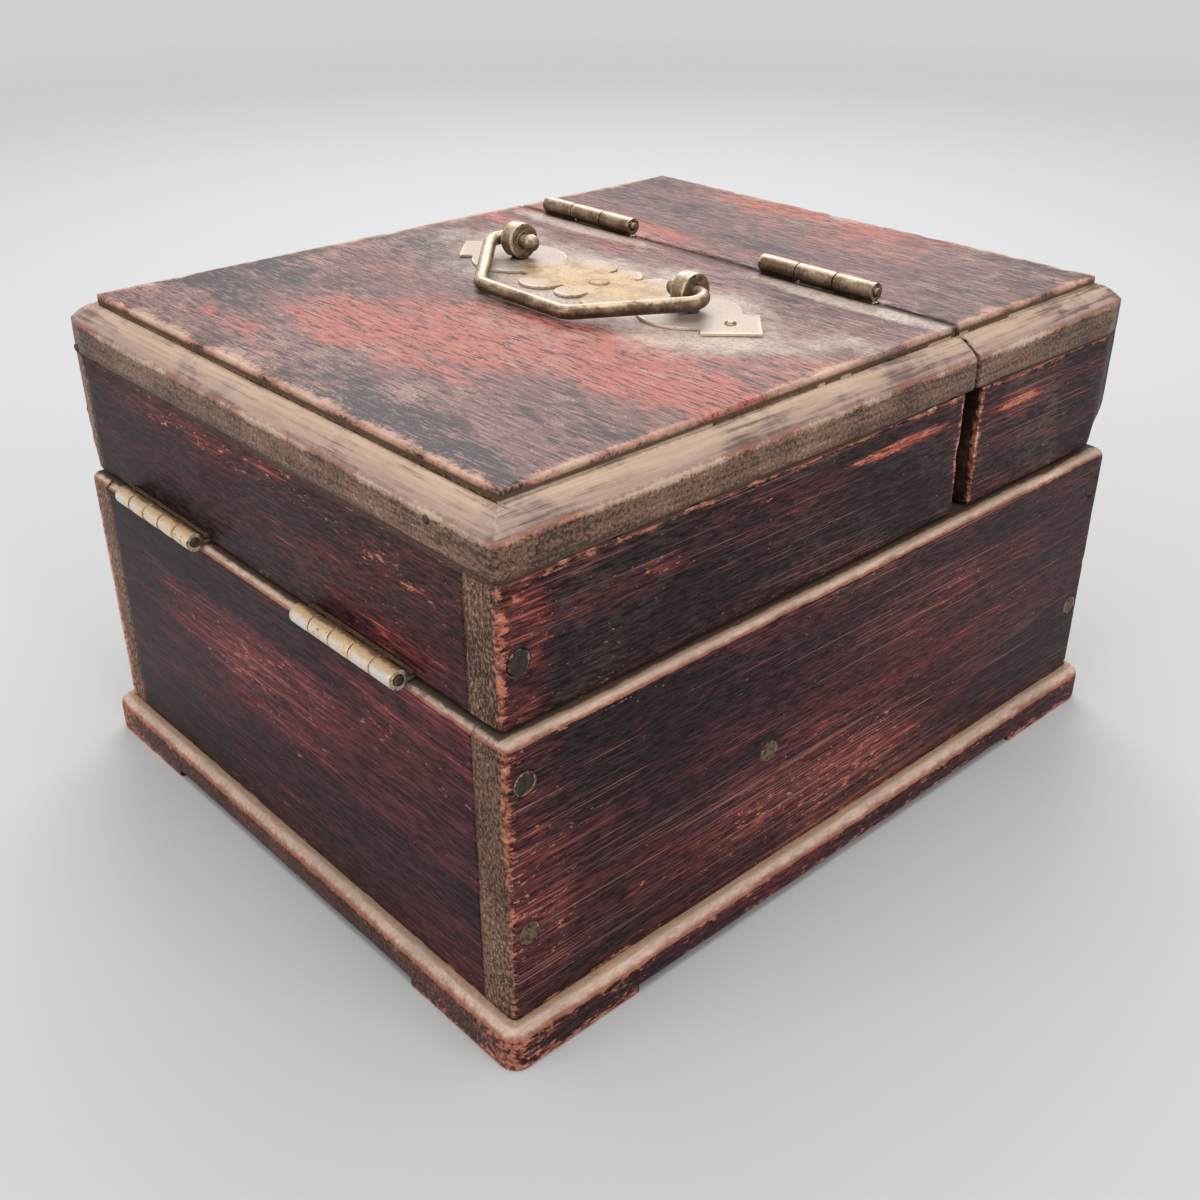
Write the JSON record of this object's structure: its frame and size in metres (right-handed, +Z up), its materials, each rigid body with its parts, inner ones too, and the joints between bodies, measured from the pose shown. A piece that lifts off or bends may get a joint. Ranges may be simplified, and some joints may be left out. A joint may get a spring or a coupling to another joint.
{
  "type": "wooden box",
  "caption": "Old lacquered hardwood box on a moulded base, with a back-hinged lid, a hinged front flap in the lid's top and a bail handle on a cusped plate.",
  "frame": {"origin": "on the ground under the middle of the closed box", "axes": "+Z up, -Y towards the flap end, +Y towards the lid hinges, X across the box"},
  "size_m": [0.1683, 0.2034, 0.1262],
  "materials": {
    "lacquered_wood": "worn satin lacquer",
    "bare_wood": "bare, darkened",
    "peg_wood": "worn lacquer",
    "hinge_brass": "tarnished",
    "old_iron": "brown patina",
    "plate_brass": "dark patina"
  },
  "bodies": {
    "box": {"base_board": "lacquered_wood", "side_left": "lacquered_wood", "side_right": "lacquered_wood", "wall_front": "lacquered_wood", "wall_back": "lacquered_wood", "partition": "bare_wood", "body_pegs": "peg_wood", "back_hinge_left_body_leaf": "hinge_brass", "back_hinge_left_pin": "old_iron", "back_hinge_right_body_leaf": "hinge_brass", "back_hinge_right_pin": "old_iron", "body_hinge_nails": "old_iron"},
    "lid": {"lid_top": "lacquered_wood", "lid_back": "lacquered_wood", "lid_side_left": "lacquered_wood", "lid_side_right": "lacquered_wood", "lid_pegs": "peg_wood", "back_hinge_left_lid_leaf": "hinge_brass", "back_hinge_right_lid_leaf": "hinge_brass", "lid_back_hinge_nails": "old_iron", "top_hinge_left_lid_leaf": "old_iron", "top_hinge_left_pin": "old_iron", "top_hinge_right_lid_leaf": "old_iron", "top_hinge_right_pin": "old_iron", "lid_top_hinge_nails": "old_iron", "handle_plate": "plate_brass", "plate_nails": "old_iron", "handle_eye_left": "old_iron", "handle_eye_right": "old_iron"},
    "flap": {"flap_top": "lacquered_wood", "flap_front": "lacquered_wood", "flap_side_left": "lacquered_wood", "flap_side_right": "lacquered_wood", "top_hinge_left_flap_leaf": "old_iron", "top_hinge_right_flap_leaf": "old_iron", "flap_hinge_nails": "old_iron"},
    "bail": {"bail": "old_iron"}
  },
  "joints": [
    {"name": "lid_hinge", "type": "hinge", "parent": "box", "child": "lid", "pos_m": [0.004, 0.0992, 0.07505], "axis": [-1, 0, 0], "range_deg": [0, 105]},
    {"name": "flap_hinge", "type": "hinge", "parent": "lid", "child": "flap", "pos_m": [0.009, -0.0385, 0.11895], "axis": [-1, 0, 0], "range_deg": [0, 115]},
    {"name": "bail_swing", "type": "hinge", "parent": "lid", "child": "bail", "pos_m": [0.004, -0.001, 0.1218], "axis": [1, 0, 0], "range_deg": [0, 195]}
  ]
}
